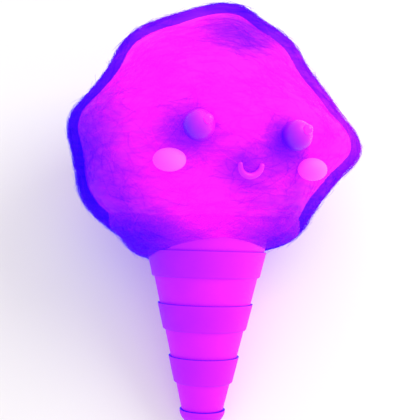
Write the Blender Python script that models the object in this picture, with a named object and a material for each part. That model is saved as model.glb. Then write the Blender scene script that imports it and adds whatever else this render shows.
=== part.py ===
# Cotton candy with a candy face on a banded paper cone, lying on its back.
#
# Each piece is modelled with the cone's axis upright: "across" is +X, "up" is +Z, towards the
# floss, and the face looks along -Y. An empty then lays the whole thing down, face up.
# World units are metres, +Z is up, and the origin is the middle of the floss's flat rest spot.

import math

import bmesh
import bpy
from mathutils import Matrix, Vector
from mathutils.bvhtree import BVHTree

GAP = 0.0003  # left between pieces that touch
ROUND_STEPS = 32  # sides of everything turned round the cone's axis

# Paper cone. Heights are measured up the axis from the upper edge of the top band.
CONE_RADIUS = 0.0356  # plain paper, at height 0
CONE_TAPER = 0.239  # how much the radius shrinks for each metre down
CONE_SUNK = 0.022  # length held inside the floss
BAND_WIDTH = 0.016  # the plain stretches between the bands are as wide
BAND_PITCH = 2 * BAND_WIDTH
BAND_STAND = 0.0013  # how far a band stands out of the plain paper
BAND_ROUND = 0.0012  # rounding of a band's lower edge
BAND_COUNT = 3
TIP_HEIGHT = -BAND_COUNT * BAND_PITCH  # where the tip cap begins
TIP_LENGTH = 0.0105
TIP_STEPS = 6
TILT_ROUNDS = 12  # repeats that settle the lying angle

# Spun floss. Its outline is seen from the face, round a middle point on the head.
FLOSS_ACROSS = 0.001
FLOSS_UP = 0.0738
FLOSS_DEPTH = 0.075  # from the middle to the front, and to the back
FLOSS_DETAIL = 5
REST_DEPTH = 0.0738  # from the middle down to the flat rest spot

# Outline of the floss: (bearing in degrees, 0 to the right and 90 up; reach from the middle)
FLOSS_OUTLINE = [
    (-6, 0.0926),  # right lobe
    (10, 0.0788),
    (30, 0.0703),
    (50, 0.0732),
    (66, 0.0741),
    (80, 0.0784),  # top lobe
    (108, 0.0739),
    (134, 0.0770),  # upper left lobe
    (151, 0.0742),
    (164, 0.0782),
    (178, 0.0883),  # left lobe
    (193, 0.0866),
    (211, 0.0900),  # lower left lobe
    (229, 0.0862),
    (241, 0.0886),  # drooping edge at the left of the cone
    (262, 0.0790),
    (281, 0.0760),
    (309, 0.0834),  # lower right lobe
    (326, 0.0800),
    (340, 0.0836),
]

# Hollows in the surface: (bearing, lean away from straight ahead, width, all in degrees; depth)
FLOSS_HOLLOWS = [
    (71, 37, 16, 0.0025),  # above the face
    (241, 64, 15, 0.0025),  # lower left
    (304, 60, 14, 0.0020),  # lower right
    (200, 58, 14, 0.0020),  # left side
    (52, 122, 20, 0.0040),  # the rest are at the back
    (128, 116, 18, 0.0035),
    (196, 124, 18, 0.0040),
    (338, 120, 19, 0.0035),
]

# Candy pieces pressed into the front of the floss. Places are (across, up).
BALL_SIDES = 16
SMALL_SIDES = 12
EYE_RADIUS = 0.0083
EYE_LIFT = 0.0015  # the ball's centre above the floss's surface
EYE_PLACES = {"eye_left": (-0.0056, 0.0650), "eye_right": (0.0456, 0.0629)}
GLINT_RADIUS = 0.0028
GLINT_SHIFT = (0.0047, 0.0021)  # from the eye's centre, across and up
GLINT_NAMES = {"eye_left": "glint_left", "eye_right": "glint_right"}
CHEEK_SIZE = (0.0089, 0.0063, 0.0048)  # half width, half height, half thickness
CHEEK_LIFT = 0.0003
CHEEK_AHEAD = 0.6  # how far a cheek turns from the floss's slope to straight ahead
CHEEK_PLACES = {"cheek_left": (-0.0208, 0.0474), "cheek_right": (0.0572, 0.0468)}
SMILE_PLACE = (0.0222, 0.0460)  # the middle of the smile's circle
SMILE_RADIUS = 0.0061  # of the line down the middle of the smile
SMILE_THICK = 0.0018  # half thickness in the middle
SMILE_THIN = 0.0013  # half thickness near the ends
SMILE_LIFT = 0.0003
SMILE_STEPS = 10

FLOSS_MIDDLE = Vector((FLOSS_ACROSS, 0.0, FLOSS_UP))
TIP_RADIUS = CONE_RADIUS + CONE_TAPER * TIP_HEIGHT + BAND_STAND


def lying_tilt():
    """Angle between the cone's axis and the floor when the rest spot and the tip cap touch it."""
    along = FLOSS_UP - TIP_HEIGHT + GAP
    tilt = 0.0
    for _ in range(TILT_ROUNDS):
        cap_reach = math.hypot(TIP_RADIUS * math.cos(tilt), TIP_LENGTH * math.sin(tilt))
        tilt = math.asin((REST_DEPTH - cap_reach) / along)
    return tilt


TILT = lying_tilt()
DOWN = Vector((0.0, math.cos(TILT), -math.sin(TILT)))  # towards the floor, seen from the cone


def clear_scene():
    for thing in list(bpy.data.objects):
        bpy.data.objects.remove(thing, do_unlink=True)


def material(name, colour, roughness):
    mat = bpy.data.materials.new(name)
    mat.use_nodes = True
    shader = mat.node_tree.nodes["Principled BSDF"]
    shader.inputs["Base Color"].default_value = (*colour, 1.0)
    shader.inputs["Roughness"].default_value = roughness
    shader.inputs["Metallic"].default_value = 0.0
    return mat


def lying_frame():
    """The empty that lays the upright pieces down, face up, on the floor."""
    frame = bpy.data.objects.new("lying", None)
    frame.rotation_euler = (TILT - math.pi / 2, 0.0, 0.0)
    frame.location = (
        -FLOSS_ACROSS,
        -FLOSS_UP * math.cos(TILT),
        REST_DEPTH - FLOSS_UP * math.sin(TILT),
    )
    bpy.context.scene.collection.objects.link(frame)
    return frame


def new_object(name, mesh, mat, frame, place=(0.0, 0.0, 0.0), turn=None):
    thing = bpy.data.objects.new(name, mesh)
    thing.data.materials.append(mat)
    bpy.context.scene.collection.objects.link(thing)
    thing.parent = frame
    thing.location = place
    if turn is not None:
        thing.rotation_mode = "QUATERNION"
        thing.rotation_quaternion = turn
    return thing


def finished_mesh(name, bm, smooth_angle=math.radians(40)):
    bmesh.ops.recalc_face_normals(bm, faces=bm.faces)
    mesh = bpy.data.meshes.new(name)
    bm.to_mesh(mesh)
    bm.free()
    mesh.shade_smooth()
    mesh.set_sharp_from_angle(angle=smooth_angle)
    return mesh


def turned_mesh(name, profile, closed):
    """Turn a profile of (radius, height) pairs round the Z axis."""
    bm = bmesh.new()
    verts = [bm.verts.new((radius, 0.0, height)) for radius, height in profile]
    pairs = list(zip(verts, verts[1:]))
    if closed:
        pairs.append((verts[-1], verts[0]))
    edges = [bm.edges.new(pair) for pair in pairs]
    bmesh.ops.spin(
        bm,
        geom=verts + edges,
        axis=(0.0, 0.0, 1.0),
        cent=(0.0, 0.0, 0.0),
        steps=ROUND_STEPS,
        angle=2 * math.pi,
    )
    bmesh.ops.remove_doubles(bm, verts=bm.verts, dist=0.00001)
    return finished_mesh(name, bm)


def cone_radius(height):
    return CONE_RADIUS + CONE_TAPER * height


def cone_mesh(name):
    """The plain paper cone as a solid, from its tip cap up to where the floss hides it."""
    profile = [
        (0.0, CONE_SUNK),
        (cone_radius(CONE_SUNK), CONE_SUNK),
        (cone_radius(TIP_HEIGHT), TIP_HEIGHT),
        (0.0, TIP_HEIGHT),
    ]
    return turned_mesh(name, profile, closed=False)


def socket_mesh(name):
    """What the floss leaves free: the sunk end of the cone, and the band it droops over."""
    top = CONE_SUNK + GAP
    bottom = -BAND_PITCH
    profile = [
        (0.0, top),
        (cone_radius(top) + GAP, top),
        (cone_radius(GAP) + GAP, GAP),
        (cone_radius(0.0) + BAND_STAND + GAP, GAP),
        (cone_radius(bottom) + BAND_STAND + GAP, bottom),
        (0.0, bottom),
    ]
    return turned_mesh(name, profile, closed=False)


def rounded_corner(corner, radius, steps):
    """A quarter circle at the outer lower corner of a profile."""
    points = []
    for step in range(steps + 1):
        angle = math.pi / 2 * step / steps
        across = corner[0] - radius + radius * math.cos(angle)
        down = corner[1] + radius - radius * math.sin(angle)
        points.append((across, down))
    return points


def band_mesh(name, top):
    """A paper band round the cone, with a crisp upper edge and a rounded lower one."""
    bottom = top - BAND_WIDTH
    profile = [
        (cone_radius(bottom) + GAP, bottom),
        (cone_radius(top) + GAP, top),
        (cone_radius(top) + BAND_STAND, top),
    ]
    corner = (cone_radius(bottom) + BAND_STAND, bottom)
    profile += rounded_corner(corner, BAND_ROUND - GAP, 3)
    return turned_mesh(name, profile, closed=True)


def tip_mesh(name):
    """The rounded cap that closes the cone's tip."""
    top = TIP_HEIGHT - GAP
    profile = [(0.0, top)]
    for step in range(TIP_STEPS + 1):
        angle = math.pi / 2 * step / TIP_STEPS
        radius = TIP_RADIUS * math.cos(angle)
        profile.append((radius if step < TIP_STEPS else 0.0, top - TIP_LENGTH * math.sin(angle)))
    return turned_mesh(name, profile, closed=False)


def outline_reach(bearing):
    """Reach of the floss at a bearing in degrees: a smooth curve through FLOSS_OUTLINE."""
    count = len(FLOSS_OUTLINE)
    first = FLOSS_OUTLINE[0][0]
    bearing = (bearing - first) % 360 + first
    index = max(i for i in range(count) if FLOSS_OUTLINE[i][0] <= bearing)

    def point(i):
        return FLOSS_OUTLINE[i % count][0] + 360 * (i // count), FLOSS_OUTLINE[i % count][1]

    (a0, r0), (a1, r1), (a2, r2), (a3, r3) = [point(index + i) for i in (-1, 0, 1, 2)]
    span = a2 - a1
    t = (bearing - a1) / span
    slope_1 = (r2 - r0) / (a2 - a0) * span
    slope_2 = (r3 - r1) / (a3 - a1) * span
    return (
        (2 * t**3 - 3 * t**2 + 1) * r1
        + (t**3 - 2 * t**2 + t) * slope_1
        + (3 * t**2 - 2 * t**3) * r2
        + (t**3 - t**2) * slope_2
    )


def look(bearing, lean):
    """The direction at a bearing round the view and a lean away from straight ahead."""
    around, away = math.radians(bearing), math.radians(lean)
    return Vector(
        (
            math.sin(away) * math.cos(around),
            -math.cos(away),
            math.sin(away) * math.sin(around),
        )
    )


def floss_point(direction):
    """Where the floss's surface lies in a direction from its middle."""
    across, ahead, up = direction
    sideways = math.hypot(across, up)
    reach = outline_reach(math.degrees(math.atan2(up, across)))
    radius = 1 / math.hypot(sideways / reach, ahead / FLOSS_DEPTH)
    for bearing, lean, width, depth in FLOSS_HOLLOWS:
        away = math.degrees(direction.angle(look(bearing, lean)))
        radius -= depth * math.exp(-((away / width) ** 2))
    return FLOSS_MIDDLE + direction * radius


def floss_solid():
    """The whole floss as a closed mesh, before anything is pressed into it."""
    bm = bmesh.new()
    bmesh.ops.create_icosphere(bm, subdivisions=FLOSS_DETAIL, radius=1.0)
    for vert in bm.verts:
        vert.co = floss_point(vert.co.normalized())
    return bm


def flatten_rest_spot(bm):
    """Cut the floss off where it lies on the floor, and close the cut with one flat face."""
    bmesh.ops.bisect_plane(
        bm,
        geom=bm.verts[:] + bm.edges[:] + bm.faces[:],
        dist=0.0000001,
        plane_co=FLOSS_MIDDLE + DOWN * REST_DEPTH,
        plane_no=DOWN,
        clear_outer=True,
    )
    rim = [edge for edge in bm.edges if edge.is_boundary]
    bmesh.ops.holes_fill(bm, edges=rim, sides=len(rim))


def seat(surface, place, ahead=0.0):
    """Point, outward direction and turn for a piece set level on the front of the floss."""
    across, up = place
    point, normal, _, _ = surface.ray_cast(Vector((across, -1.0, up)), Vector((0.0, 1.0, 0.0)))
    outward = (point - FLOSS_MIDDLE).normalized().lerp(normal, 0.5).normalized()
    facing = outward.lerp(Vector((0.0, -1.0, 0.0)), ahead).normalized()
    right = Vector((0.0, 0.0, 1.0)).cross(facing).normalized()
    upward = facing.cross(right)
    turn = Matrix((right, upward, facing)).transposed().to_quaternion()
    return point, outward, turn


def ellipsoid_mesh(name, size, sides, grow=0.0):
    bm = bmesh.new()
    bmesh.ops.create_uvsphere(bm, u_segments=sides, v_segments=sides // 2, radius=1.0)
    bmesh.ops.scale(bm, vec=[half + grow for half in size], verts=bm.verts)
    return finished_mesh(name, bm)


def smile_mesh(name, grow=0.0):
    """A half ring, open at the top, that thins towards its round ends."""
    sides = 8
    rings = []
    for step in range(SMILE_STEPS + 1):
        part = step / SMILE_STEPS
        angle = math.pi * (1 + part)
        ending = min(part, 1 - part) * 2
        thick = SMILE_THIN + (SMILE_THICK - SMILE_THIN) * math.sin(ending * math.pi / 2)
        rings.append((angle, 0.0, thick + grow))
    cap = [(0.5, 0.866), (0.87, 0.5)]
    start, end = rings[0], rings[-1]
    before = [(start[0], -(start[2] * far), start[2] * near) for far, near in reversed(cap)]
    after = [(end[0], end[2] * far, end[2] * near) for far, near in cap]
    bm = bmesh.new()
    loops = []
    for angle, past, thick in before + rings + after:
        outward = Vector((math.cos(angle), math.sin(angle), 0.0))
        ahead = Vector((-math.sin(angle), math.cos(angle), 0.0))
        middle = outward * SMILE_RADIUS + ahead * past
        loop = []
        for side in range(sides):
            turn = 2 * math.pi * side / sides
            offset = outward * math.cos(turn) + Vector((0.0, 0.0, 1.0)) * math.sin(turn)
            loop.append(bm.verts.new(middle + offset * thick))
        loops.append(loop)
    for here, there in zip(loops, loops[1:]):
        for side in range(sides):
            after_side = (side + 1) % sides
            bm.faces.new((here[side], here[after_side], there[after_side], there[side]))
    bm.faces.new(loops[0])
    bm.faces.new(loops[-1])
    return finished_mesh(name, bm)


def cut_out(solid, name, mesh, frame, place=(0.0, 0.0, 0.0), turn=None):
    """Take a shape out of a solid with a Boolean, keeping the cutter as a hidden guide."""
    cutter = new_object(name, mesh, bpy.data.materials["cutter"], frame, place, turn)
    cutter.hide_render = True
    cutter.display_type = "WIRE"
    modifier = solid.modifiers.new(name, "BOOLEAN")
    modifier.operation = "DIFFERENCE"
    modifier.solver = "EXACT"
    modifier.object = cutter


def build_cone(frame):
    plain = material("plain_paper", (0.93, 0.02, 0.97), 0.55)
    raised = material("band_paper", (0.72, 0.02, 0.97), 0.5)
    new_object("cone", cone_mesh("cone"), plain, frame)
    for index in range(BAND_COUNT):
        name = f"band_{index + 1}"
        new_object(name, band_mesh(name, -index * BAND_PITCH), raised, frame)
    new_object("tip_cap", tip_mesh("tip_cap"), raised, frame)


def build_floss(frame):
    """The floss, and a tree of its uncut surface for seating the face."""
    bm = floss_solid()
    surface = BVHTree.FromBMesh(bm)
    flatten_rest_spot(bm)
    sugar = material("floss_sugar", (0.91, 0.02, 0.98), 0.8)
    floss = new_object("floss", finished_mesh("floss", bm), sugar, frame)
    cut_out(floss, "cone_socket", socket_mesh("cone_socket"), frame)
    return floss, surface


def build_eyes(frame, floss, surface):
    dark = material("eye_candy", (0.42, 0.01, 0.90), 0.25)
    bright = material("glint_candy", (1.0, 0.04, 1.0), 0.25)
    ball = (EYE_RADIUS,) * 3
    spark = (GLINT_RADIUS,) * 3
    shift = Vector(
        (
            GLINT_SHIFT[0],
            -math.sqrt(EYE_RADIUS**2 - GLINT_SHIFT[0] ** 2 - GLINT_SHIFT[1] ** 2),
            GLINT_SHIFT[1],
        )
    )
    for name, place in EYE_PLACES.items():
        point, outward, _ = seat(surface, place)
        centre = point + outward * EYE_LIFT
        glint = GLINT_NAMES[name]
        eye = new_object(name, ellipsoid_mesh(name, ball, BALL_SIDES), dark, frame, centre)
        pocket = ellipsoid_mesh("pocket", ball, BALL_SIDES, GAP)
        cut_out(floss, f"{name}_pocket", pocket, frame, centre)
        new_object(glint, ellipsoid_mesh(glint, spark, SMALL_SIDES), bright, frame, centre + shift)
        dent = ellipsoid_mesh("dent", spark, SMALL_SIDES, GAP)
        cut_out(eye, f"{glint}_dent", dent, frame, centre + shift)


def build_cheeks(frame, floss, surface):
    blush = material("cheek_candy", (1.0, 0.13, 1.0), 0.5)
    for name, place in CHEEK_PLACES.items():
        point, outward, turn = seat(surface, place, CHEEK_AHEAD)
        centre = point + outward * CHEEK_LIFT
        new_object(name, ellipsoid_mesh(name, CHEEK_SIZE, BALL_SIDES), blush, frame, centre, turn)
        pocket = ellipsoid_mesh("pocket", CHEEK_SIZE, BALL_SIDES, GAP)
        cut_out(floss, f"{name}_pocket", pocket, frame, centre, turn)


def build_smile(frame, floss, surface):
    lip = material("smile_candy", (0.75, 0.02, 1.0), 0.4)
    point, outward, turn = seat(surface, SMILE_PLACE)
    centre = point + outward * SMILE_LIFT
    new_object("smile", smile_mesh("smile"), lip, frame, centre, turn)
    cut_out(floss, "smile_pocket", smile_mesh("pocket", GAP), frame, centre, turn)


def main():
    clear_scene()
    material("cutter", (0.5, 0.5, 0.5), 0.5)
    frame = lying_frame()
    build_cone(frame)
    floss, surface = build_floss(frame)
    build_eyes(frame, floss, surface)
    build_cheeks(frame, floss, surface)
    build_smile(frame, floss, surface)
    bpy.context.view_layer.update()


main()
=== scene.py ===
import math

import bpy
import numpy as np
from mathutils import Matrix, Vector, noise


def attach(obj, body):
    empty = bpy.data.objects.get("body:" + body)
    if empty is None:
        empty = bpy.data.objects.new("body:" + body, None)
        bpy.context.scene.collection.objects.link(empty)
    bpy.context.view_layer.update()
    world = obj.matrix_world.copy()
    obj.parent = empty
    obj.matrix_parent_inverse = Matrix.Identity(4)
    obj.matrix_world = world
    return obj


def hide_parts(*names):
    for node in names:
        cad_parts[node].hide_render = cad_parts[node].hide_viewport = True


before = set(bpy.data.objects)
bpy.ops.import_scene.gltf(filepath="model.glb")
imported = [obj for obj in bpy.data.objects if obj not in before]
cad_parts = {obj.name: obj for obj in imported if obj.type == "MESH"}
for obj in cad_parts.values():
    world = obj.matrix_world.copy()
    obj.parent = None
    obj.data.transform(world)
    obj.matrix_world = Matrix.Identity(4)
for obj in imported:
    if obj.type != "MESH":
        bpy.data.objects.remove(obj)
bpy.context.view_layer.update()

# Everything is modelled upright: across is +X, up is +Z along the cone, and the face looks
# along -Y. The layDown matrix then puts it where the CAD solids lie.

paperCone = {
    "radius": 0.0356,  # at the upper edge of the top band
    "taper": 0.239,
    "sunk": 0.022,
    "bandWidth": 0.016,
    "bandStand": 0.0013,
    "bandRound": 0.0010,
    "bands": 3,
    "tipLength": 0.0105,
    "sides": 144,
}

spunSugar = {
    "across": 0.001,
    "up": 0.0738,
    "depth": 0.075,
    # bearing round the face in degrees, and how far the outermost sugar reaches there
    "outline": [
        (-6, 0.0926), (10, 0.0788), (30, 0.0703), (50, 0.0732), (66, 0.0741), (80, 0.0784),
        (108, 0.0739), (134, 0.0770), (151, 0.0742), (164, 0.0782), (178, 0.0883),
        (193, 0.0866), (211, 0.0900), (229, 0.0862), (241, 0.0886), (262, 0.0790),
        (281, 0.0760), (309, 0.0834), (326, 0.0800), (340, 0.0836),
    ],
    # bearing, lean from straight ahead, width in degrees, depth
    "hollows": [
        (71, 37, 16, 0.0025), (241, 64, 15, 0.0025), (304, 60, 14, 0.0020),
        (200, 58, 14, 0.0020), (52, 122, 20, 0.0040), (128, 116, 18, 0.0035),
        (196, 124, 18, 0.0040), (338, 120, 19, 0.0035),
    ],
    "coreInset": 0.0062,  # the dense core stops this far inside the outline
    "facing": 0.166,  # how far down the open front looks, in radians
    "pressFrom": 0.013,
    "press": 0.72,
    "hemHigh": 0.020,
    "hemBlend": 0.010,
    "cuts": 127,
    "rimWaves": 0.0035,
    "filmThick": 0.0003,
    "strandRelief": 0.00045,
    "lumpRelief": 0.0007,
}

candyFace = {
    "eyeRadius": 0.0083,
    "glintRadius": 0.0028,
    "cheekSize": (0.0089, 0.0063, 0.0048),
    "smileRadius": 0.0061,
    "smileThick": 0.0018,
    "smileThin": 0.0013,
}

studio = {
    "cameraDistance": 0.440,
    "lens": 60.86,
    "pitch": 3.3,
    "yaw": 0.18,
    "roll": 1.6,
    "keyPower": 3.7,
    "fillPower": 0.35,
    "skyStrength": 0.92,
}


def uniquePoints(node):
    points = np.empty(len(bpy.data.objects[node].data.vertices) * 3, dtype=np.float32)
    bpy.data.objects[node].data.vertices.foreach_get("co", points)
    return np.unique(np.round(points.reshape(-1, 3), 6), axis=0).astype(float)


def findLayDown():
    top, low = uniquePoints("band_1"), uniquePoints("band_3")
    up = Vector(top.mean(0) - low.mean(0)).normalized()
    edge = ((top - top.mean(0)) @ np.array(up)).max()
    start = Vector(top.mean(0)) + up * edge
    across = Vector((1, 0, 0))
    back = up.cross(across)
    turn = Matrix((across, back, up)).transposed().to_4x4()
    return Matrix.Translation(start) @ turn


layDown = findLayDown()
standUp = layDown.inverted()
flossMiddle = np.array((spunSugar["across"], 0.0, spunSugar["up"]))
print("frame found: the cone leans", round(math.degrees(math.asin(layDown[2][2])), 2), "degrees")


def deselectAll():
    if bpy.context.object and bpy.context.object.mode != "OBJECT":
        bpy.ops.object.mode_set(mode="OBJECT")
    bpy.ops.object.select_all(action="DESELECT")


def layPiece(piece, name, slotName, *nodes):
    piece.name = name
    piece.data.name = name
    piece.data.transform(layDown @ piece.matrix_world)
    piece.matrix_world = Matrix.Identity(4)
    piece.data.update()
    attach(piece, "root")
    if nodes:
        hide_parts(*nodes)
    return piece


def applyModifiers(piece):
    deselectAll()
    piece.select_set(True)
    bpy.context.view_layer.objects.active = piece
    for modifier in list(piece.modifiers):
        bpy.ops.object.modifier_apply(modifier=modifier.name)


def linkMesh(name, verts, faces):
    mesh = bpy.data.meshes.new(name)
    mesh.from_pydata(verts, [], faces)
    piece = bpy.data.objects.new(name, mesh)
    bpy.context.scene.collection.objects.link(piece)
    return piece


def turnNormalsOut():
    bpy.ops.object.mode_set(mode="EDIT")
    bpy.ops.mesh.select_all(action="SELECT")
    bpy.ops.mesh.normals_make_consistent(inside=False)
    bpy.ops.object.mode_set(mode="OBJECT")


def readPoints(piece):
    points = np.empty(len(piece.data.vertices) * 3, dtype=np.float32)
    piece.data.vertices.foreach_get("co", points)
    return points.reshape(-1, 3).astype(float)


def writePoints(piece, points):
    piece.data.vertices.foreach_set("co", points.astype(np.float32).ravel())
    piece.data.update()


def outlineReach(bearing):
    places = np.array([p[0] for p in spunSugar["outline"]], float)
    reaches = np.array([p[1] for p in spunSugar["outline"]], float)
    count = len(places)
    bearing = (bearing - places[0]) % 360 + places[0]
    index = np.searchsorted(places, bearing, side="right") - 1
    turns = [(index + step) for step in (-1, 0, 1, 2)]
    a0, a1, a2, a3 = [places[i % count] + 360 * np.floor_divide(i, count) for i in turns]
    r0, r1, r2, r3 = [reaches[i % count] for i in turns]
    span = a2 - a1
    t = (bearing - a1) / span
    slope1 = (r2 - r0) / (a2 - a0) * span
    slope2 = (r3 - r1) / (a3 - a1) * span
    return (
        (2 * t**3 - 3 * t**2 + 1) * r1
        + (t**3 - 2 * t**2 + t) * slope1
        + (3 * t**2 - 2 * t**3) * r2
        + (t**3 - t**2) * slope2
    )


def lookDirection(bearing, lean):
    around, away = np.radians(bearing), np.radians(lean)
    return np.stack(
        [np.sin(away) * np.cos(around), -np.cos(away), np.sin(away) * np.sin(around)], -1
    )


def hollowDepth(ways):
    depth = np.zeros(len(ways))
    for bearing, lean, width, deep in spunSugar["hollows"]:
        away = np.degrees(np.arccos(np.clip(ways @ lookDirection(bearing, lean), -1, 1)))
        depth += deep * np.exp(-((away / width) ** 2))
    return depth


def flossRadius(ways, inset, depth):
    sideways = np.hypot(ways[:, 0], ways[:, 2])
    reach = outlineReach(np.degrees(np.arctan2(ways[:, 2], ways[:, 0]))) - inset
    return 1 / np.hypot(sideways / reach, ways[:, 1] / depth) - hollowDepth(ways)


def coreSurface(ways):
    # the dense sugar that carries the face
    return ways * flossRadius(ways, spunSugar["coreInset"], spunSugar["depth"] - 0.0006)[:, None]


def outerSurface(ways):
    return ways * flossRadius(ways, 0.0, spunSugar["depth"])[:, None]


def looseSurface(ways):
    # the loose outer sugar, pressed back on its front so that the core stands out of it
    points = outerSurface(ways)
    facing = np.array((0.0, -math.cos(spunSugar["facing"]), -math.sin(spunSugar["facing"])))
    waves = np.array([noise.noise(Vector(way) * 4.5) for way in ways])
    ahead = np.maximum(points @ facing - spunSugar["pressFrom"] - spunSugar["rimWaves"] * waves, 0)
    return points - np.outer(ahead * spunSugar["press"], facing)


def smoothShare(share):
    return share * share * (3 - 2 * share)


def hemSurface(ways):
    # the thin skirt that droops over the cone: out of the core above, at the outline below
    outer = outerSurface(ways)
    core = coreSurface(ways) * 0.985
    high = spunSugar["hemHigh"] - spunSugar["up"]
    share = np.clip((high - outer[:, 2]) / spunSugar["hemBlend"], 0, 1)
    share = smoothShare(share)[:, None]
    return core + (outer - core) * share


def standOf(node):
    # the middle of a CAD piece and the way it is turned, upright: X is its longest way and Z
    # its thinnest, which points ahead
    points = uniquePoints(node) @ np.array(standUp.to_3x3()).T + np.array(standUp.translation)
    spread = np.cov((points - points.mean(0)).T)
    axes = np.linalg.eigh(spread)[1]
    longest = axes[:, 2] * np.sign(axes[0, 2])
    thinnest = axes[:, 0] * -np.sign(axes[1, 0])
    turn = np.stack([longest, np.cross(thinnest, longest), thinnest])
    own = points @ turn.T
    middle = (own.min(0) + own.max(0)) / 2 @ turn
    return Matrix.Translation(Vector(middle)) @ Matrix(turn.tolist()).transposed().to_4x4()


class Wire:
    def __init__(self, tree, socket):
        self.tree = tree
        self.socket = socket

    def maths(self, operation, first, second):
        node = self.tree.nodes.new("ShaderNodeMath")
        node.operation = operation
        for port, item in zip(node.inputs, (first, second)):
            if isinstance(item, Wire):
                self.tree.links.new(item.socket, port)
            else:
                port.default_value = item
        return Wire(self.tree, node.outputs[0])

    def __add__(self, other):
        return self.maths("ADD", self, other)

    def __radd__(self, other):
        return self.maths("ADD", other, self)

    def __sub__(self, other):
        return self.maths("SUBTRACT", self, other)

    def __rsub__(self, other):
        return self.maths("SUBTRACT", other, self)

    def __mul__(self, other):
        return self.maths("MULTIPLY", self, other)

    def __rmul__(self, other):
        return self.maths("MULTIPLY", other, self)


class Finish:
    def __init__(self, name):
        self.material = bpy.data.materials.new(name)
        self.material.use_nodes = True
        self.tree = self.material.node_tree
        self.shader = self.tree.nodes["Principled BSDF"]

    def add(self, kind, settings, inputs, output=0):
        node = self.tree.nodes.new(kind)
        for key, value in settings.items():
            if key == "stops":
                self.setStops(node.color_ramp, value)
            else:
                setattr(node, key, value)
        self.fill(node, inputs)
        return Wire(self.tree, node.outputs[output])

    def setStops(self, ramp, stops):
        while len(ramp.elements) < len(stops):
            ramp.elements.new(0.5)
        for element, (place, colour) in zip(ramp.elements, stops):
            element.position = place
            element.color = (*colour, 1.0)

    def fill(self, node, inputs):
        for key, value in inputs.items():
            if isinstance(value, Wire):
                self.tree.links.new(value.socket, node.inputs[key])
            else:
                node.inputs[key].default_value = value

    def upright(self, stretch):
        # the piece's own coordinates, stood upright and stretched
        where = self.add("ShaderNodeTexCoord", {}, {}, "Object")
        turn = standUp.to_euler()
        stood = self.add(
            "ShaderNodeMapping", {}, {"Vector": where, "Rotation": turn, "Location": standUp.translation}
        )
        return self.add("ShaderNodeMapping", {}, {"Vector": stood, "Scale": stretch})

    def noise(self, where, scale, detail, roughness=0.5):
        settings = {"noise_dimensions": "3D"}
        inputs = {"Vector": where, "Scale": scale, "Detail": detail, "Roughness": roughness}
        return self.add("ShaderNodeTexNoise", settings, inputs)

    def ramp(self, value, stops):
        return self.add("ShaderNodeValToRGB", {"stops": stops}, {"Fac": value})

    def bump(self, height, strength, distance):
        inputs = {"Height": height, "Strength": strength, "Distance": distance}
        return self.add("ShaderNodeBump", {}, inputs)


# sugar colours for the tone ramp: deep violet where the painted shade is strongest, magenta where there is
# none
deepViolet = (0.022, 0.0, 0.80)
violet = (0.14, 0.002, 1.0)
orchid = (0.46, 0.008, 1.0)
magenta = (1.0, 0.0145, 1.0)
sugarTones = [(0.0, deepViolet), (0.36, violet), (0.70, orchid), (1.0, magenta)]


def flossFinish(name, paintedGlow, streak, coarse, cover):
    made = Finish(name)
    # the tone attribute is low where shade is painted; the strands add random streaks
    tone = made.add("ShaderNodeAttribute", {"attribute_name": "tone"}, {}, "Fac")
    strands = made.noise(made.upright((0.22, 0.22, 1.0)), coarse, 5.0, 0.62)
    fluff = made.noise(made.upright((1.0, 1.0, 1.0)), 260.0, 3.0)
    varied = tone + (strands - 0.5) * streak
    colour = made.ramp(varied, sugarTones)
    height = strands * 0.7 + fluff * 0.3
    made.fill(made.shader, {
        "Base Color": colour,
        "Roughness": 0.85,
        "Specular IOR Level": 0.08,
        "Sheen Weight": 0.12,
        "Sheen Roughness": 0.4,
        "Sheen Tint": (0.8, 0.1, 1.0, 1.0),
        "Alpha": cover,
        # painted glow: the sugar emits its own colour so that its shade turns violet instead of dark,
        # though it is no lamp
        "Emission Color": colour,
        "Emission Strength": paintedGlow,
        "Normal": made.bump(height, 0.55, 0.0009),
    })
    return made.material


def paperFinish(name, pale, deep, paintedGlow):
    made = Finish(name)
    grain = made.noise(made.upright((1.0, 1.0, 0.35)), 900.0, 4.0, 0.6)
    mottle = made.noise(made.upright((1.0, 1.0, 1.0)), 55.0, 3.0)
    # painted shade: the colour runs from deep on the left to pale on the right, darker on the side away
    # from the light, with random mottle
    side = made.add("ShaderNodeSeparateXYZ", {}, {"Vector": made.upright((1.0, 1.0, 1.0))}, "X")
    across = side * 13.0 + 0.52 + (mottle - 0.5) * 0.16
    colour = made.ramp(across, [(0.0, deep), (1.0, pale)])
    made.fill(made.shader, {
        "Base Color": colour,
        "Roughness": 0.42 + grain * 0.2,
        "Specular IOR Level": 0.12,
        # painted glow: the paper emits its own colour, though it is no lamp
        "Emission Color": colour,
        "Emission Strength": paintedGlow,
        "Normal": made.bump(grain, 0.25, 0.0002),
    })
    return made.material


def candyFinish(name, pale, deep, roughness, coat, paintedGlow):
    made = Finish(name)
    cloud = made.noise(made.upright((1.0, 1.0, 1.0)), 110.0, 3.0)
    frost = made.noise(made.upright((1.0, 1.0, 1.0)), 1500.0, 2.0)
    # the tone holds painted shade on each candy's left and bottom and painted light on its right and top;
    # cloud adds random tone
    tone = made.add("ShaderNodeAttribute", {"attribute_name": "tone"}, {}, "Fac")
    colour = made.ramp(tone + (cloud - 0.5) * 0.2, [(0.1, deep), (0.8, pale)])
    made.fill(made.shader, {
        "Base Color": colour,
        "Roughness": roughness + frost * 0.12,
        "Specular IOR Level": 0.2,
        "Coat Weight": coat,
        "Coat Roughness": 0.3,
        # painted glow: the candy emits its own colour, though it is no lamp
        "Emission Color": colour,
        "Emission Strength": paintedGlow,
        "Normal": made.bump(frost, 0.12, 0.0001),
    })
    return made.material


def coneRadius(height):
    return paperCone["radius"] + paperCone["taper"] * height


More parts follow.
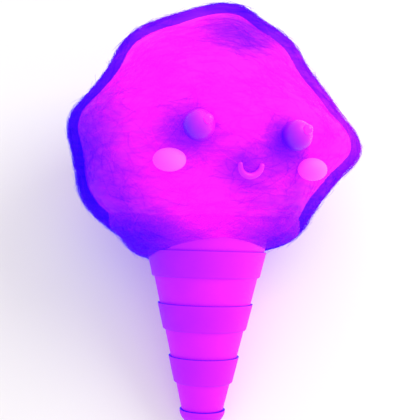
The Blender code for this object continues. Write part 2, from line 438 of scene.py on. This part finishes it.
def smoothPiece(piece, angle):
    deselectAll()
    piece.select_set(True)
    bpy.context.view_layer.objects.active = piece
    bpy.ops.object.shade_smooth_by_angle(angle=math.radians(angle))


def addFrustum(low, high, stand, ends):
    bpy.ops.mesh.primitive_cone_add(
        vertices=paperCone["sides"],
        radius1=coneRadius(low) + stand,
        radius2=coneRadius(high) + stand,
        depth=high - low,
        location=(0, 0, (low + high) / 2),
        end_fill_type=ends,
    )
    return bpy.context.object


def softenEdges(piece, height, width):
    # bevels the ring of edges nearest to a height
    bpy.ops.object.mode_set(mode="EDIT")
    bpy.ops.mesh.select_mode(type="EDGE")
    bpy.ops.mesh.select_all(action="DESELECT")
    bpy.ops.object.mode_set(mode="OBJECT")
    middle = piece.matrix_world.translation.z
    points = piece.data.vertices
    for edge in piece.data.edges:
        ends = [points[i].co.z + middle for i in edge.vertices]
        edge.select = all(abs(end - height) < 0.0001 for end in ends)
    bpy.ops.object.mode_set(mode="EDIT")
    bpy.ops.mesh.bevel(offset=width, segments=5, profile=0.5, affect="EDGES")
    bpy.ops.object.mode_set(mode="OBJECT")


def makeCone(paper):
    deselectAll()
    low = -paperCone["bands"] * 2 * paperCone["bandWidth"] - 0.0002
    cone = addFrustum(low, paperCone["sunk"], 0.0, "NGON")
    softenEdges(cone, low, 0.0006)
    smoothPiece(cone, 35)
    layPiece(cone, "plainPaper", "cone_paper", "cone")
    cone.data.materials.append(paper)


def markTopRing(piece, top):
    # the top ring of a raised band, at the paper's cut edge, takes the second material: painted shade on
    # the face that turns away from the light
    middle = piece.matrix_world.translation.z
    for face in piece.data.polygons:
        if face.center.z + middle > top - 0.00022:
            face.material_index = 1


def makeBand(index, paper, edge):
    deselectAll()
    top = -index * 2 * paperCone["bandWidth"]
    low = top - paperCone["bandWidth"]
    band = addFrustum(low, top, paperCone["bandStand"], "NGON")
    softenEdges(band, low, paperCone["bandRound"])
    softenEdges(band, top, 0.00018)
    smoothPiece(band, 35)
    band.data.materials.append(paper)
    band.data.materials.append(edge)
    markTopRing(band, top)
    layPiece(band, "paperBand" + str(index + 1), "band_paper", "band_" + str(index + 1))


def makeTip(paper, edge):
    deselectAll()
    top = -paperCone["bands"] * 2 * paperCone["bandWidth"] - 0.0003
    radius = coneRadius(top) + paperCone["bandStand"]
    bpy.ops.mesh.primitive_uv_sphere_add(
        segments=paperCone["sides"] // 2, ring_count=48, radius=radius, location=(0, 0, 0)
    )
    tip = bpy.context.object
    bpy.ops.object.mode_set(mode="EDIT")
    bpy.ops.mesh.select_all(action="SELECT")
    bpy.ops.mesh.bisect(
        plane_co=(0, 0, -0.00001), plane_no=(0, 0, 1), use_fill=True, clear_outer=True
    )
    bpy.ops.object.mode_set(mode="OBJECT")
    points = readPoints(tip)
    points[:, 2] = points[:, 2] * paperCone["tipLength"] / radius + top
    writePoints(tip, points)
    smoothPiece(tip, 35)
    tip.data.materials.append(paper)
    tip.data.materials.append(edge)
    markTopRing(tip, top)
    layPiece(tip, "tipCap", "band_paper", "tip_cap")


def setTone(piece, values):
    tone = piece.data.attributes.new("tone", "FLOAT", "POINT")
    tone.data.foreach_set("value", values.astype(np.float32))


def makeBall(name, slotName, node, radius, sugar, unevenness):
    deselectAll()
    centre = standOf(node).translation
    bpy.ops.mesh.primitive_uv_sphere_add(segments=64, ring_count=40, radius=radius)
    ball = bpy.context.object
    points = readPoints(ball)
    for index, point in enumerate(points):
        way = Vector(point) / radius
        points[index] = point * (1 + unevenness * noise.noise(way * 1.7 + centre * 90))
    writePoints(ball, points)
    # painted shade and light: the tone falls to the left and bottom of the ball and rises to its right and
    # top
    setTone(ball, 0.5 + (points[:, 0] * 0.42 + points[:, 2] * 0.24 - points[:, 1] * 0.06) / radius)
    ball.data.transform(Matrix.Translation(centre))
    smoothPiece(ball, 60)
    layPiece(ball, name, slotName, node)
    ball.data.materials.append(sugar)


def makeCheek(name, node, sugar):
    deselectAll()
    stand = standOf(node)
    bpy.ops.mesh.primitive_uv_sphere_add(segments=64, ring_count=40, radius=1.0)
    cheek = bpy.context.object
    points = readPoints(cheek)
    for index, point in enumerate(points):
        points[index] = point * (1 + 0.012 * noise.noise(Vector(point) * 1.5 + stand.translation * 70))
    writePoints(cheek, points * np.array(candyFace["cheekSize"]))
    # painted shade and light: the tone falls to the left of the cheek and rises to its right
    setTone(cheek, 0.5 + points[:, 0] * 0.45 + points[:, 1] * 0.10)
    cheek.data.transform(stand)
    smoothPiece(cheek, 60)
    layPiece(cheek, name, "cheek_candy", node)
    cheek.data.materials.append(sugar)


def makeSmile(sugar):
    deselectAll()
    steps, sides = 48, 24
    radius = candyFace["smileRadius"]
    lift = (radius + candyFace["smileThick"] - candyFace["smileThin"]) / 2
    verts, faces = [], []
    path = []
    for step in range(steps + 1):
        part = step / steps
        swell = math.sin(min(part, 1 - part) * math.pi)
        thick = candyFace["smileThin"] + (candyFace["smileThick"] - candyFace["smileThin"]) * swell
        path.append((math.pi * (1 + part), 0.0, thick))
    first, last = path[0], path[-1]
    caps = [math.pi / 2 * i / 7 for i in range(1, 7)]
    before = [(first[0], -first[2] * math.sin(a), first[2] * math.cos(a)) for a in reversed(caps)]
    after = [(last[0], last[2] * math.sin(a), last[2] * math.cos(a)) for a in caps]
    for angle, past, thick in before + path + after:
        outward = Vector((math.cos(angle), math.sin(angle), 0))
        ahead = Vector((-math.sin(angle), math.cos(angle), 0))
        middle = outward * radius + ahead * past + Vector((0, lift, 0))
        for side in range(sides):
            turn = 2 * math.pi * side / sides
            verts.append(middle + (outward * math.cos(turn) + Vector((0, 0, 1)) * math.sin(turn)) * thick)
    rings = len(verts) // sides
    for ring in range(rings - 1):
        for side in range(sides):
            here, there = ring * sides + side, ring * sides + (side + 1) % sides
            faces.append((here, there, there + sides, here + sides))
    faces.append(tuple(reversed(range(sides))))
    faces.append(tuple(range((rings - 1) * sides, rings * sides)))
    smile = linkMesh("candySmile", verts, faces)
    smile.select_set(True)
    bpy.context.view_layer.objects.active = smile
    turnNormalsOut()
    # painted shade and light: the tone falls to the left of the smile and rises to its right
    setTone(smile, 0.5 + np.array(verts)[:, 0] * 55)
    smile.data.transform(standOf("smile"))
    smoothPiece(smile, 60)
    layPiece(smile, "candySmile", "smile_candy", "smile")
    smile.data.materials.append(sugar)


# painted shade: where the sugar turns violet in the hollows, on the left side and round the eyes and
# smile: across, up, width, height, strength, all upright on the front
paintedShadePatches = [
    (-0.080, 0.055, 0.028, 0.038, 0.62),
    (-0.048, 0.008, 0.024, 0.022, 0.46),
    (-0.026, 0.002, 0.018, 0.014, 0.26),
    (0.017, 0.122, 0.023, 0.018, 0.44),
    (0.050, 0.022, 0.024, 0.022, 0.30),
    (-0.012, 0.062, 0.016, 0.015, 0.36),
    (0.038, 0.061, 0.010, 0.013, 0.44),
    (0.048, 0.052, 0.009, 0.009, 0.22),
    (0.019, 0.045, 0.013, 0.012, 0.32),
    (0.064, 0.084, 0.018, 0.020, 0.14),
    (-0.056, 0.034, 0.018, 0.016, 0.12),
    (0.026, 0.000, 0.018, 0.014, 0.26),
]


def coreTone(points):
    # low tone is painted shade from the violet patches above; the tone is also darker towards the back
    tone = np.ones(len(points))
    for across, up, width, height, strength in paintedShadePatches:
        spread = ((points[:, 0] - across) / width) ** 2 + ((points[:, 2] - up) / height) ** 2
        tone -= strength * np.exp(-spread)
    behind = np.clip(points[:, 1] / 0.05, 0, 1)
    return np.clip(tone - 0.25 * behind, 0.12, 1.0)


# tone of the loose outer sugar round the outline, low on the left and high on the right, which is painted
# shade on the side away from the light: bearing, tone
hemTones = [(0, 0.66), (40, 0.50), (75, 0.36), (110, 0.40), (140, 0.42), (180, 0.10), (225, 0.12),
            (260, 0.30), (300, 0.22), (330, 0.45)]


def hemTone(points):
    around = points - flossMiddle
    bearing = np.degrees(np.arctan2(around[:, 2], around[:, 0])) % 360
    places = [p[0] for p in hemTones] + [360]
    tones = [p[1] for p in hemTones] + [hemTones[0][1]]
    patches = np.array([noise.noise(Vector(p) * 28) for p in points])
    tone = np.interp(bearing, places, tones)
    behind = np.clip((points[:, 1] + 0.02 * patches) / 0.060, 0, 1)
    tone += (0.72 - tone) * smoothShare(behind)
    return np.clip(tone + 0.10 * patches, 0.02, 1.0)


def strandRelief(points):
    # wavy strands wound round the cone's axis, with soft lumps under them
    relief = np.empty(len(points))
    for index, point in enumerate(points):
        x, y, z = point
        bend = noise.noise(Vector((x * 22, y * 22, z * 22))) * 0.012
        fine = noise.noise(Vector((x * 60, y * 60, (z + bend) * 420)))
        wide = noise.noise(Vector((x * 30 + 7, y * 30, (z + bend * 1.6) * 150)))
        lump = noise.noise(Vector((x * 45, y * 45, z * 45)))
        ridge = (1 - abs(fine)) ** 2 * 0.6 + (1 - abs(wide)) ** 2 * 0.7
        relief[index] = spunSugar["strandRelief"] * (ridge - 0.7) + spunSugar["lumpRelief"] * lump
    return relief


def makeFlossBall(name, surfaceOf, toneOf, sugar, *nodes):
    deselectAll()
    bpy.ops.mesh.primitive_cube_add(size=2.0)
    ball = bpy.context.object
    bpy.ops.object.mode_set(mode="EDIT")
    bpy.ops.mesh.select_all(action="SELECT")
    bpy.ops.mesh.subdivide(number_cuts=spunSugar["cuts"])
    bpy.ops.object.mode_set(mode="OBJECT")
    ways = np.tan(readPoints(ball) * math.pi / 4)
    ways /= np.linalg.norm(ways, axis=1)[:, None]
    points = flossMiddle + surfaceOf(ways)
    points += ways * strandRelief(points)[:, None]
    setTone(ball, toneOf(points))
    writePoints(ball, points)
    ball.data.shade_smooth()
    layPiece(ball, name, "floss", *nodes)
    pressOnFloor(ball)
    ball.data.materials.append(sugar)


def pressOnFloor(piece):
    laid = readPoints(piece)
    laid[:, 2] = np.maximum(laid[:, 2], 0.0)
    writePoints(piece, laid)


# tone of the thin skirt, low at its sides and lowest on the left, which is painted shade where the skirt
# turns away from the light: across, tone
skirtTones = [(-0.05, 0.26), (-0.030, 0.36), (-0.012, 0.72), (0.008, 0.96), (0.022, 0.80),
              (0.040, 0.48)]


def skirtTone(points):
    low = np.interp(points[:, 0], [p[0] for p in skirtTones], [p[1] for p in skirtTones])
    share = np.clip((spunSugar["hemHigh"] - points[:, 2]) / 0.018, 0, 1)
    share = smoothShare(share)
    return coreTone(points) * (1 - share) + low * share


def makeSkirt(sugar):
    # a grid wrapped round the front and underside of the floss, thickened into a thin film
    deselectAll()
    bpy.ops.mesh.primitive_grid_add(x_subdivisions=150, y_subdivisions=70, size=2.0)
    skirt = bpy.context.object
    flat = readPoints(skirt)
    bearing = 270 + flat[:, 0] * 52
    lean = 66 + flat[:, 1] * 26
    ways = lookDirection(bearing, lean)
    points = flossMiddle + hemSurface(ways)
    points += ways * strandRelief(points)[:, None] * 0.6
    setTone(skirt, skirtTone(points))
    writePoints(skirt, points)
    thicken = skirt.modifiers.new("film", "SOLIDIFY")
    thicken.thickness = spunSugar["filmThick"]
    thicken.offset = 0
    applyModifiers(skirt)
    turnNormalsOut()
    skirt.data.shade_smooth()
    layPiece(skirt, "flossSkirt", "floss")
    skirt.data.materials.append(sugar)


wispStyle = {
    "rings": 9,
    "thick": 0.00008,
    "length": (0.010, 0.030),
    "slope": 0.42,  # how far a strand's heading strays from the winding, in radians
    "curl": 0.15,
}


def makeWisps(name, seed, count, surfaceOf, toneOf, keep, rise, toneSpread, sugar):
    # fine strands laid along the floss, each a three-sided thread that may lift off at its end
    draw = np.random.default_rng(seed)
    ways = draw.normal(size=(count * 12, 3))
    ways /= np.linalg.norm(ways, axis=1)[:, None]
    ways = ways[keep(ways)][: (count)]
    count = len(ways)
    winding = np.cross((0.0, 0.0, 1.0), ways) + 1e-6
    winding /= np.linalg.norm(winding, axis=1)[:, None]
    slope = draw.normal(size=count)[:, None] * wispStyle["slope"]
    headings = winding * np.cos(slope) + np.cross(ways, winding) * np.sin(slope)
    headings *= draw.choice((-1.0, 1.0), size=count)[:, None]
    lengths = draw.uniform(*wispStyle["length"], size=count)[:, None]
    curls = draw.normal(size=count)[:, None] * wispStyle["curl"]
    rises = (np.abs(draw.normal(size=count)) * rise)[:, None]
    tones = draw.normal(size=count) * toneSpread
    rings = wispStyle["rings"]
    path = np.empty((rings, count, 3))
    for ring in range(rings):
        part = ring / (rings - 1)
        surface = surfaceOf(ways)
        path[ring] = flossMiddle + surface + ways * (rises * part**2 + 0.0003 * math.sin(part * math.pi))
        radius = np.linalg.norm(surface, axis=1)[:, None]
        sideways = np.cross(ways, headings)
        headings = headings * np.cos(curls) + sideways * np.sin(curls)
        ways = ways + headings * lengths / radius / (rings - 1)
        ways /= np.linalg.norm(ways, axis=1)[:, None]
        headings -= ways * (headings * ways).sum(1)[:, None]
        headings /= np.linalg.norm(headings, axis=1)[:, None]
    ahead = np.gradient(path, axis=0)
    ahead /= np.linalg.norm(ahead, axis=2)[:, :, None]
    out = path - flossMiddle
    out /= np.linalg.norm(out, axis=2)[:, :, None]
    aside = np.cross(ahead, out)
    aside /= np.linalg.norm(aside, axis=2)[:, :, None]
    thick = wispStyle["thick"] * np.sin(np.linspace(0.18, 0.9, rings) * math.pi)[:, None, None] ** 0.5
    corners = []
    for corner in range(3):
        turn = 2 * math.pi * corner / 3
        corners.append(path + thick * (aside * math.cos(turn) + out * math.sin(turn)))
    verts = np.stack(corners, axis=2).transpose(1, 0, 2, 3).reshape(-1, 3)
    faces = []
    ringFaces = [(r * 3 + c, r * 3 + (c + 1) % 3, r * 3 + 3 + (c + 1) % 3, r * 3 + 3 + c)
                 for r in range(rings - 1) for c in range(3)]
    for wisp in range(count):
        first = wisp * rings * 3
        last = first + (rings - 1) * 3
        faces.extend([tuple(first + corner for corner in face) for face in ringFaces])
        faces.append((first + 2, first + 1, first))
        faces.append((last, last + 1, last + 2))
    wisps = linkMesh(name, verts, faces)
    spread = np.repeat(tones, rings * 3)
    # the strands take the painted shade of the sugar under them, with random tone on top
    setTone(wisps, np.clip(toneOf(verts) + spread, 0.02, 1.0))
    layPiece(wisps, name, "floss")
    pressOnFloor(wisps)
    wisps.data.materials.append(sugar)
    print(name, "has", count, "strands")


def makeFloor():
    deselectAll()
    bpy.ops.mesh.primitive_plane_add(size=8.0, location=(0, 0, 0))
    floor = bpy.context.object
    floor.name = "studioFloor"
    made = Finish("paleFloor")
    made.fill(made.shader, {"Base Color": (0.90, 0.89, 0.88, 1.0), "Roughness": 0.9})
    floor.data.materials.append(made.material)


def makeCamera():
    pitch, yaw, roll = [math.radians(studio[key]) for key in ("pitch", "yaw", "roll")]
    forward = Vector((math.sin(yaw), math.cos(yaw) * math.cos(pitch), math.sin(pitch))).normalized()
    right = Vector((math.cos(yaw), -math.sin(yaw), 0))
    above = right.cross(forward)
    turned = right * math.cos(roll) + above * math.sin(roll)
    raised = above * math.cos(roll) - right * math.sin(roll)
    turn = Matrix((turned, raised, -forward)).transposed().to_4x4()
    camera = bpy.data.objects.new("studioCamera", bpy.data.cameras.new("studioCamera"))
    camera.data.lens = studio["lens"]
    camera.data.sensor_width = 36
    camera.data.clip_start = 0.01
    bpy.context.scene.collection.objects.link(camera)
    camera.matrix_world = layDown @ Matrix.Translation((0, -studio["cameraDistance"], 0)) @ turn
    bpy.context.scene.camera = camera


def addLamp(name, place, target, power, size, colour):
    lamp = bpy.data.objects.new(name, bpy.data.lights.new(name, "AREA"))
    lamp.data.energy = power
    lamp.data.size = size
    lamp.data.color = colour
    lamp.location = place
    lamp.rotation_euler = (Vector(target) - Vector(place)).to_track_quat("-Z", "Y").to_euler()
    bpy.context.scene.collection.objects.link(lamp)


def makeLights():
    target = (0, -0.02, 0.06)
    addLamp("keyLamp", (0.55, 0.25, 0.60), target, studio["keyPower"], 0.5, (1.0, 1.0, 1.0))
    addLamp("fillLamp", (-0.6, -0.4, 0.55), target, studio["fillPower"], 0.7, (1.0, 0.95, 1.0))
    world = bpy.data.worlds.new("softSky")
    world.use_nodes = True
    sky = world.node_tree.nodes["Background"]
    sky.inputs["Color"].default_value = (1.0, 0.98, 0.98, 1.0)
    sky.inputs["Strength"].default_value = studio["skyStrength"]
    bpy.context.scene.world = world
    bpy.context.scene.view_settings.view_transform = "Standard"


makeFloor()
makeCamera()
makeLights()
print("studio ready")

# the deep colour of each paper is its painted shade on the left side
plainPaper = paperFinish("magentaPaper", (1.0, 0.0145, 1.0), (0.36, 0.005, 1.0), 0.15)
bandPaper = paperFinish("violetPaper", (0.84, 0.012, 1.0), (0.26, 0.004, 1.0), 0.15)
# painted shade: a dark paper for the top ring of each band and of the tip
paintedShadeEdgePaper = paperFinish("paintedShadeEdgePaper", (0.12, 0.001, 1.0), (0.05, 0.0, 0.95), 0.15)
makeCone(plainPaper)
for bandIndex in range(paperCone["bands"]):
    makeBand(bandIndex, bandPaper, paintedShadeEdgePaper)
makeTip(bandPaper, paintedShadeEdgePaper)
print("cone made")

eyeSugar = candyFinish("eyeSugar", (0.72, 0.010, 1.0), (0.13, 0.002, 1.0), 0.35, 0.12, 0.12)
# the glints are small lighter balls at the upper right of each eye: a painted highlight, glowing more than
# the other candies
glintSugar = candyFinish("glintSugar", (1.0, 0.02, 1.0), (1.0, 0.013, 1.0), 0.3, 0.15, 0.3)
cheekSugar = candyFinish("cheekSugar", (1.0, 0.115, 1.0), (1.0, 0.040, 1.0), 0.5, 0.0, 0.2)
smileSugar = candyFinish("smileSugar", (0.72, 0.011, 1.0), (0.58, 0.008, 1.0), 0.4, 0.1, 0.2)
for sideName in ("left", "right"):
    ending = sideName.capitalize()
    makeBall("eyeBall" + ending, "eye_candy", "eye_" + sideName, candyFace["eyeRadius"], eyeSugar, 0.010)
    makeBall(
        "eyeGlint" + ending, "glint_candy", "glint_" + sideName, candyFace["glintRadius"], glintSugar, 0.02
    )
    makeCheek("cheekDrop" + ending, "cheek_" + sideName, cheekSugar)
makeSmile(smileSugar)
print("candies made")

coreSugar = flossFinish("coreSugar", 0.20, 0.30, 300.0, 1.0)
looseSugar = flossFinish("looseSugar", 0.20, 0.30, 300.0, 1.0)
skirtSugar = flossFinish("skirtSugar", 0.20, 0.30, 300.0, 0.34)
makeFlossBall("flossCore", coreSurface, coreTone, coreSugar, "floss")
makeFlossBall("flossLoose", looseSurface, hemTone, looseSugar)
makeSkirt(skirtSugar)
print("floss made")


def onFront(ways):
    return ways[:, 1] < -0.12


def onBack(ways):
    return ways[:, 1] > 0.0


def onRim(ways):
    return np.abs(ways[:, 1] + 0.1) < 0.32


def onSkirt(ways):
    return (ways[:, 2] < -0.55) & (ways[:, 1] < -0.25) & (ways[:, 1] > -0.85)


makeWisps("frontWisps", 11, 3800, coreSurface, coreTone, onFront, 0.0004, 0.09, coreSugar)
makeWisps("rimWisps", 12, 3800, looseSurface, hemTone, onRim, 0.0012, 0.10, looseSugar)
makeWisps("backWisps", 13, 3800, outerSurface, hemTone, onBack, 0.0010, 0.12, looseSugar)
makeWisps("skirtWisps", 14, 1500, hemSurface, skirtTone, onSkirt, 0.0003, 0.08, coreSugar)
print("wisps made")
